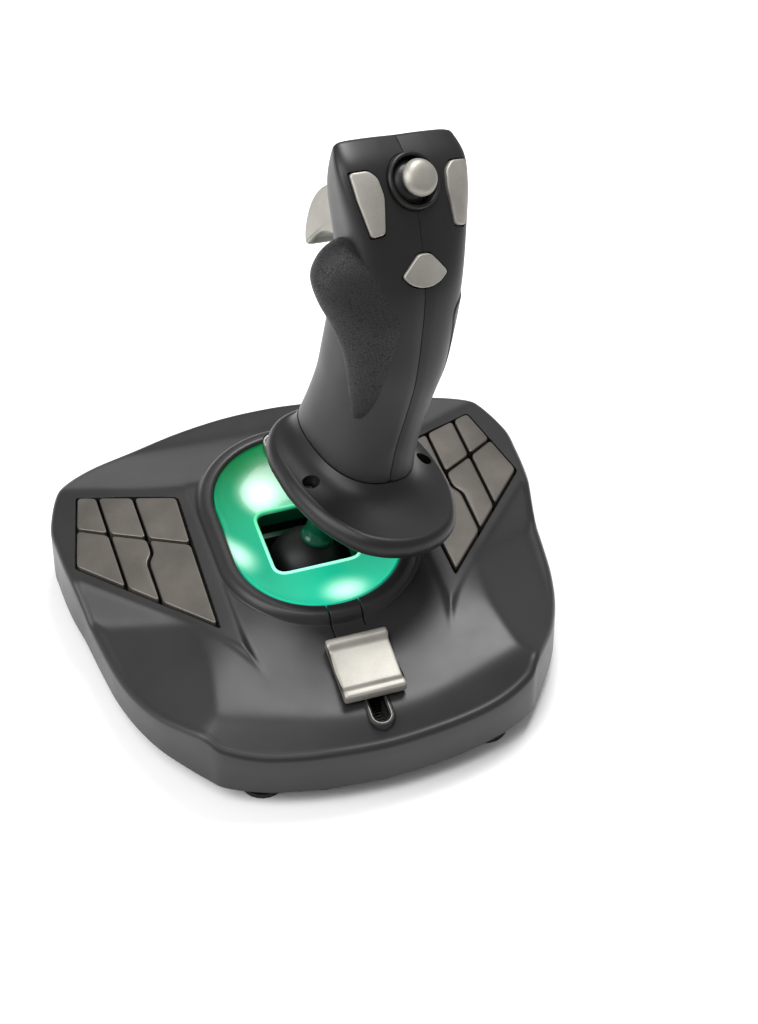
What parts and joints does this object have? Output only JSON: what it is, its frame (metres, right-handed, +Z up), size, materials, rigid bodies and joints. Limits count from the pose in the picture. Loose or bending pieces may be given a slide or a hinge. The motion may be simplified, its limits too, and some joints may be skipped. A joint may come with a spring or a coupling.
{
  "type": "flight joystick",
  "caption": "Desktop flight joystick: a leaning, twisting grip on a two-axis gimbal over a lit well, with a hat, trigger, head keys, side key fields and a slide throttle.",
  "frame": {"origin": "on the table under the middle of the model's bounding box", "axes": "+Z up, +X to the user's right, +Y away from the user"},
  "size_m": [0.2, 0.2046, 0.2159],
  "materials": {
    "charcoal_shell": "fine matt soft-touch texture, moulded ABS",
    "black_shell": "matt black moulded ABS",
    "gunmetal_paint": "satin gunmetal paint on moulded keys",
    "silver_paint": "satin silver paint on moulded keys",
    "green_lens": "translucent green moulded acrylic, lit from behind",
    "rubber_black": "matt black rubber",
    "soft_grip": "fine leather grain on soft-touch rubber",
    "steel": "turned and ground steel",
    "board_green": "solder-mask green"
  },
  "bodies": {
    "base": {"base_shell_upper": "charcoal_shell", "base_shell_lower": "black_shell", "foot_front_left": "rubber_black", "foot_front_right": "rubber_black", "foot_rear_left": "rubber_black", "foot_rear_right": "rubber_black", "light_ring": "green_lens", "well_liner": "black_shell", "ring_light_board": "board_green", "rear_lock_plug": "silver_paint", "slot_bezel": "gunmetal_paint", "slide_potentiometer": "steel", "gimbal_housing_left": "black_shell", "gimbal_housing_right": "black_shell", "bearing_left": "steel", "bearing_right": "steel", "main_board": "board_green", "ballast_plate_left": "steel", "ballast_plate_right": "steel", "cable_gland": "rubber_black"},
    "throttle": {"throttle_slider": "silver_paint"},
    "base_button_left_1": {"base_button_left_1": "gunmetal_paint"},
    "base_button_left_2": {"base_button_left_2": "gunmetal_paint"},
    "base_button_left_3": {"base_button_left_3": "gunmetal_paint"},
    "base_button_left_4": {"base_button_left_4": "gunmetal_paint"},
    "base_button_left_5": {"base_button_left_5": "gunmetal_paint"},
    "base_button_left_6": {"base_button_left_6": "gunmetal_paint"},
    "base_button_right_1": {"base_button_right_1": "gunmetal_paint"},
    "base_button_right_2": {"base_button_right_2": "gunmetal_paint"},
    "base_button_right_3": {"base_button_right_3": "gunmetal_paint"},
    "base_button_right_4": {"base_button_right_4": "gunmetal_paint"},
    "base_button_right_5": {"base_button_right_5": "gunmetal_paint"},
    "base_button_right_6": {"base_button_right_6": "gunmetal_paint"},
    "gimbal": {"gimbal_ring": "steel"},
    "stick": {"stick_shaft": "steel", "shaft_sleeve": "green_lens", "dust_dome": "black_shell", "sensor_magnet": "steel"},
    "grip": {"palm_skirt": "charcoal_shell", "skirt_screw_left": "steel", "skirt_screw_right": "steel", "handle_shell_left": "charcoal_shell", "handle_shell_right": "charcoal_shell", "thumb_rest_left": "soft_grip", "side_cover_right": "charcoal_shell", "trigger_pin": "steel", "hat_bezel": "charcoal_shell", "grip_board": "board_green"},
    "head_button_left": {"head_button_left": "silver_paint"},
    "head_button_right": {"head_button_right": "silver_paint"},
    "head_button_lower": {"head_button_lower": "silver_paint"},
    "trigger": {"trigger": "silver_paint"},
    "hat_cradle": {"hat_cradle": "charcoal_shell"},
    "hat_cap": {"hat_cap": "silver_paint"}
  },
  "joints": [
    {"name": "throttle_slide", "type": "slide", "parent": "base", "child": "throttle", "axis": [0, 0.9889, 0.1483], "range_m": [-0.014, 0.006]},
    {"name": "press_left_1", "type": "slide", "parent": "base", "child": "base_button_left_1", "axis": [-0.1445, 0, 0.9895], "range_m": [-0.0015, 0], "stiffness_N_per_m": 400, "springref_m": 0.0005},
    {"name": "press_left_2", "type": "slide", "parent": "base", "child": "base_button_left_2", "axis": [-0.1445, 0, 0.9895], "range_m": [-0.0015, 0], "stiffness_N_per_m": 400, "springref_m": 0.0005},
    {"name": "press_left_3", "type": "slide", "parent": "base", "child": "base_button_left_3", "axis": [-0.1445, 0, 0.9895], "range_m": [-0.0015, 0], "stiffness_N_per_m": 400, "springref_m": 0.0005},
    {"name": "press_left_4", "type": "slide", "parent": "base", "child": "base_button_left_4", "axis": [-0.1445, 0, 0.9895], "range_m": [-0.0015, 0], "stiffness_N_per_m": 400, "springref_m": 0.0005},
    {"name": "press_left_5", "type": "slide", "parent": "base", "child": "base_button_left_5", "axis": [-0.1445, 0, 0.9895], "range_m": [-0.0015, 0], "stiffness_N_per_m": 400, "springref_m": 0.0005},
    {"name": "press_left_6", "type": "slide", "parent": "base", "child": "base_button_left_6", "axis": [-0.1445, 0, 0.9895], "range_m": [-0.0015, 0], "stiffness_N_per_m": 400, "springref_m": 0.0005},
    {"name": "press_right_1", "type": "slide", "parent": "base", "child": "base_button_right_1", "axis": [0.1445, 0, 0.9895], "range_m": [-0.0015, 0], "stiffness_N_per_m": 400, "springref_m": 0.0005},
    {"name": "press_right_2", "type": "slide", "parent": "base", "child": "base_button_right_2", "axis": [0.1445, 0, 0.9895], "range_m": [-0.0015, 0], "stiffness_N_per_m": 400, "springref_m": 0.0005},
    {"name": "press_right_3", "type": "slide", "parent": "base", "child": "base_button_right_3", "axis": [0.1445, 0, 0.9895], "range_m": [-0.0015, 0], "stiffness_N_per_m": 400, "springref_m": 0.0005},
    {"name": "press_right_4", "type": "slide", "parent": "base", "child": "base_button_right_4", "axis": [0.1445, 0, 0.9895], "range_m": [-0.0015, 0], "stiffness_N_per_m": 400, "springref_m": 0.0005},
    {"name": "press_right_5", "type": "slide", "parent": "base", "child": "base_button_right_5", "axis": [0.1445, 0, 0.9895], "range_m": [-0.0015, 0], "stiffness_N_per_m": 400, "springref_m": 0.0005},
    {"name": "press_right_6", "type": "slide", "parent": "base", "child": "base_button_right_6", "axis": [0.1445, 0, 0.9895], "range_m": [-0.0015, 0], "stiffness_N_per_m": 400, "springref_m": 0.0005},
    {"name": "stick_pitch", "type": "hinge", "parent": "base", "child": "gimbal", "pos_m": [0, 0.00975, 0.015], "axis": [1, 0, 0], "range_deg": [-20, 20], "stiffness_Nm_per_rad": 1.2},
    {"name": "stick_roll", "type": "hinge", "parent": "gimbal", "child": "stick", "pos_m": [0, 0.00975, 0.015], "axis": [0, 1, 0], "range_deg": [-34, 6], "stiffness_Nm_per_rad": 1.2, "springref_deg": -14},
    {"name": "grip_twist", "type": "hinge", "parent": "stick", "child": "grip", "pos_m": [0, 0.00975, 0.015], "axis": [0.2419, 0, 0.9703], "range_deg": [-32.5, 7.5], "stiffness_Nm_per_rad": 0.3, "springref_deg": -12.5},
    {"name": "trigger_pull", "type": "hinge", "parent": "grip", "child": "trigger", "pos_m": [0.03526, 0.03025, 0.17523], "axis": [0.9473, 0.2164, -0.2362], "range_deg": [-14, 0], "stiffness_Nm_per_rad": 0.1, "springref_deg": 14.32},
    {"name": "hat_tilt_fore_aft", "type": "hinge", "parent": "grip", "child": "hat_cradle", "pos_m": [0.04469, 0.01608, 0.20003], "axis": [0.9473, 0.2164, -0.2362], "range_deg": [-7, 7], "stiffness_Nm_per_rad": 0.03},
    {"name": "hat_tilt_side", "type": "hinge", "parent": "hat_cradle", "child": "hat_cap", "pos_m": [0.04469, 0.01608, 0.20003], "axis": [0.0022, 0.7329, 0.6803], "range_deg": [-7, 7], "stiffness_Nm_per_rad": 0.03},
    {"name": "press_head_left", "type": "slide", "parent": "grip", "child": "head_button_left", "axis": [0.1034, -0.721, 0.6851], "range_m": [-0.0012, 0], "stiffness_N_per_m": 400, "springref_m": 0.0005},
    {"name": "press_head_right", "type": "slide", "parent": "grip", "child": "head_button_right", "axis": [0.5201, -0.6258, 0.5812], "range_m": [-0.0012, 0], "stiffness_N_per_m": 400, "springref_m": 0.0005},
    {"name": "press_head_lower", "type": "slide", "parent": "grip", "child": "head_button_lower", "axis": [0.3031, -0.844, 0.4424], "range_m": [-0.0012, 0], "stiffness_N_per_m": 400, "springref_m": 0.0005}
  ]
}
